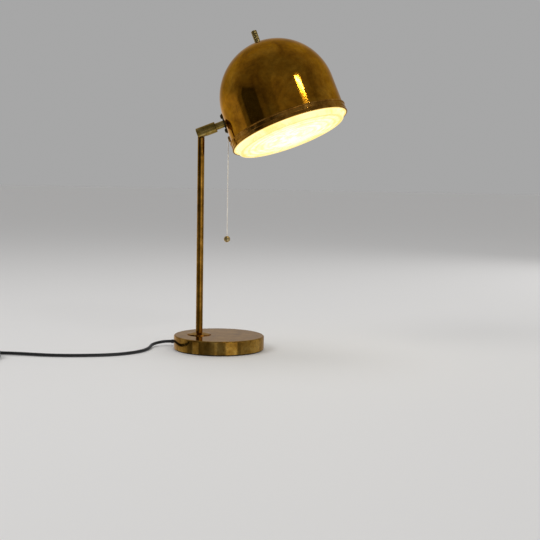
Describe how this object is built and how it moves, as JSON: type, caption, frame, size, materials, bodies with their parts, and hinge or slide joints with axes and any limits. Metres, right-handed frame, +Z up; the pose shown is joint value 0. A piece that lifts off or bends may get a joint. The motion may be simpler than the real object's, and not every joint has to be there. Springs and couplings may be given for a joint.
{
  "type": "desk lamp",
  "caption": "Brass desk lamp: round weighted base, slim off-centre stem, tilting knuckle arm, dome shade with lit ridged lens and pull cord.",
  "frame": {"origin": "centre of the base's underside, on the surface that the lamp stands on", "axes": "+Z up, +X from the stem towards the shade, along the arm seen from above"},
  "size_m": [0.6526, 0.3692, 0.5587],
  "materials": {
    "shade_brass": "polished, aged",
    "polished_brass": "polished, aged",
    "olive_brass": "satin, aged",
    "dark_brass": "dull, darkened",
    "plain_brass": "machined",
    "steel": "zinc plated",
    "iron": "as cast, painted",
    "felt": "wool felt",
    "diffuser": "frosted, ridged",
    "opal_glass": "opal",
    "ceramic": "glazed ceramic",
    "switch_plastic": "moulded",
    "cord_black": "smooth",
    "plug_black": "moulded",
    "lead_white": "smooth",
    "pull_string": "twisted"
  },
  "bodies": {
    "base": {"felt_pad": "felt", "base_weight": "iron", "base_cover": "polished_brass", "foot_flange": "polished_brass", "stem_tube": "polished_brass", "foot_nipple": "steel", "foot_washer": "steel", "foot_nut": "steel", "cord_bush": "plain_brass", "cord_strain_relief": "cord_black", "power_cord": "cord_black", "power_cord_coil": "cord_black", "power_plug": "plug_black", "plug_pins": "steel", "cord_tie": "plug_black", "stem_lead": "lead_white"},
    "swivel": {"stem_head": "polished_brass", "knuckle_lead": "lead_white"},
    "knuckle": {"knuckle_barrel": "olive_brass", "pivot_screws": "olive_brass", "friction_washers": "steel", "rod_grub_screw": "steel"},
    "shade": {"arm_rod": "olive_brass", "arm_nut": "plain_brass", "side_bracket": "dark_brass", "bracket_screws": "dark_brass", "bracket_nuts": "steel", "dome_shade": "shade_brass", "rim_ring": "shade_brass", "diffuser_lens": "diffuser", "lens_clips": "steel", "top_rod": "olive_brass", "apex_washer": "steel", "apex_nut": "steel", "holder_stud": "steel", "holder_cap": "plain_brass", "holder_sleeve": "plain_brass", "holder_insert": "ceramic", "holder_contacts": "plain_brass", "bulb_tip": "steel", "bulb_cap": "steel", "bulb_glass": "opal_glass", "pull_switch_body": "switch_plastic", "switch_ferrule": "polished_brass", "ferrule_nut": "polished_brass", "switch_spring": "steel", "shade_lead": "lead_white"},
    "switch": {"switch_plunger": "switch_plastic"},
    "pull_hook": {"pull_cord_throat": "pull_string"},
    "pull_line": {"pull_cord_bend": "pull_string"},
    "pull": {"pull_cord": "pull_string", "pull_ball": "polished_brass"}
  },
  "joints": [
    {"name": "stem_swivel", "type": "hinge", "parent": "base", "child": "swivel", "pos_m": [-0.0355, 0, 0.3804], "axis": [0, 0, 1], "range_deg": [-170, 170]},
    {"name": "arm_tilt", "type": "hinge", "parent": "swivel", "child": "knuckle", "pos_m": [-0.0355, 0, 0.3804], "axis": [0, -1, 0], "range_deg": [-18, 45], "deforming": ["knuckle_lead"]},
    {"name": "shade_roll", "type": "hinge", "parent": "knuckle", "child": "shade", "pos_m": [-0.0355, 0, 0.3804], "axis": [0.9311, 0, 0.3649], "range_deg": [-81, 99]},
    {"name": "switch_slide", "type": "slide", "parent": "shade", "child": "switch", "axis": [-0.9311, 0, -0.3649], "range_m": [0, 0.007], "deforming": ["switch_spring"]},
    {"name": "pull_swing_roll", "type": "hinge", "parent": "shade", "child": "pull_hook", "pos_m": [0.01456, -0.00457, 0.36915], "axis": [0.9311, 0, 0.3649], "range_deg": [-99, 81]},
    {"name": "pull_swing_tilt", "type": "hinge", "parent": "pull_hook", "child": "pull_line", "pos_m": [0.01572, -0.00457, 0.36617], "axis": [0, -1, 0], "range_deg": [-45, 18], "deforming": ["pull_cord_bend"]},
    {"name": "pull_slide", "type": "slide", "parent": "pull_line", "child": "pull", "axis": [0, 0, -1], "range_m": [0, 0.007], "stiffness_N_per_m": 600}
  ],
  "couplings": [
    {"joint": "switch_slide", "follows": "pull_slide", "ratio": 1},
    {"joint": "pull_swing_roll", "follows": "shade_roll", "ratio": -1},
    {"joint": "pull_swing_tilt", "follows": "arm_tilt", "ratio": -1}
  ]
}
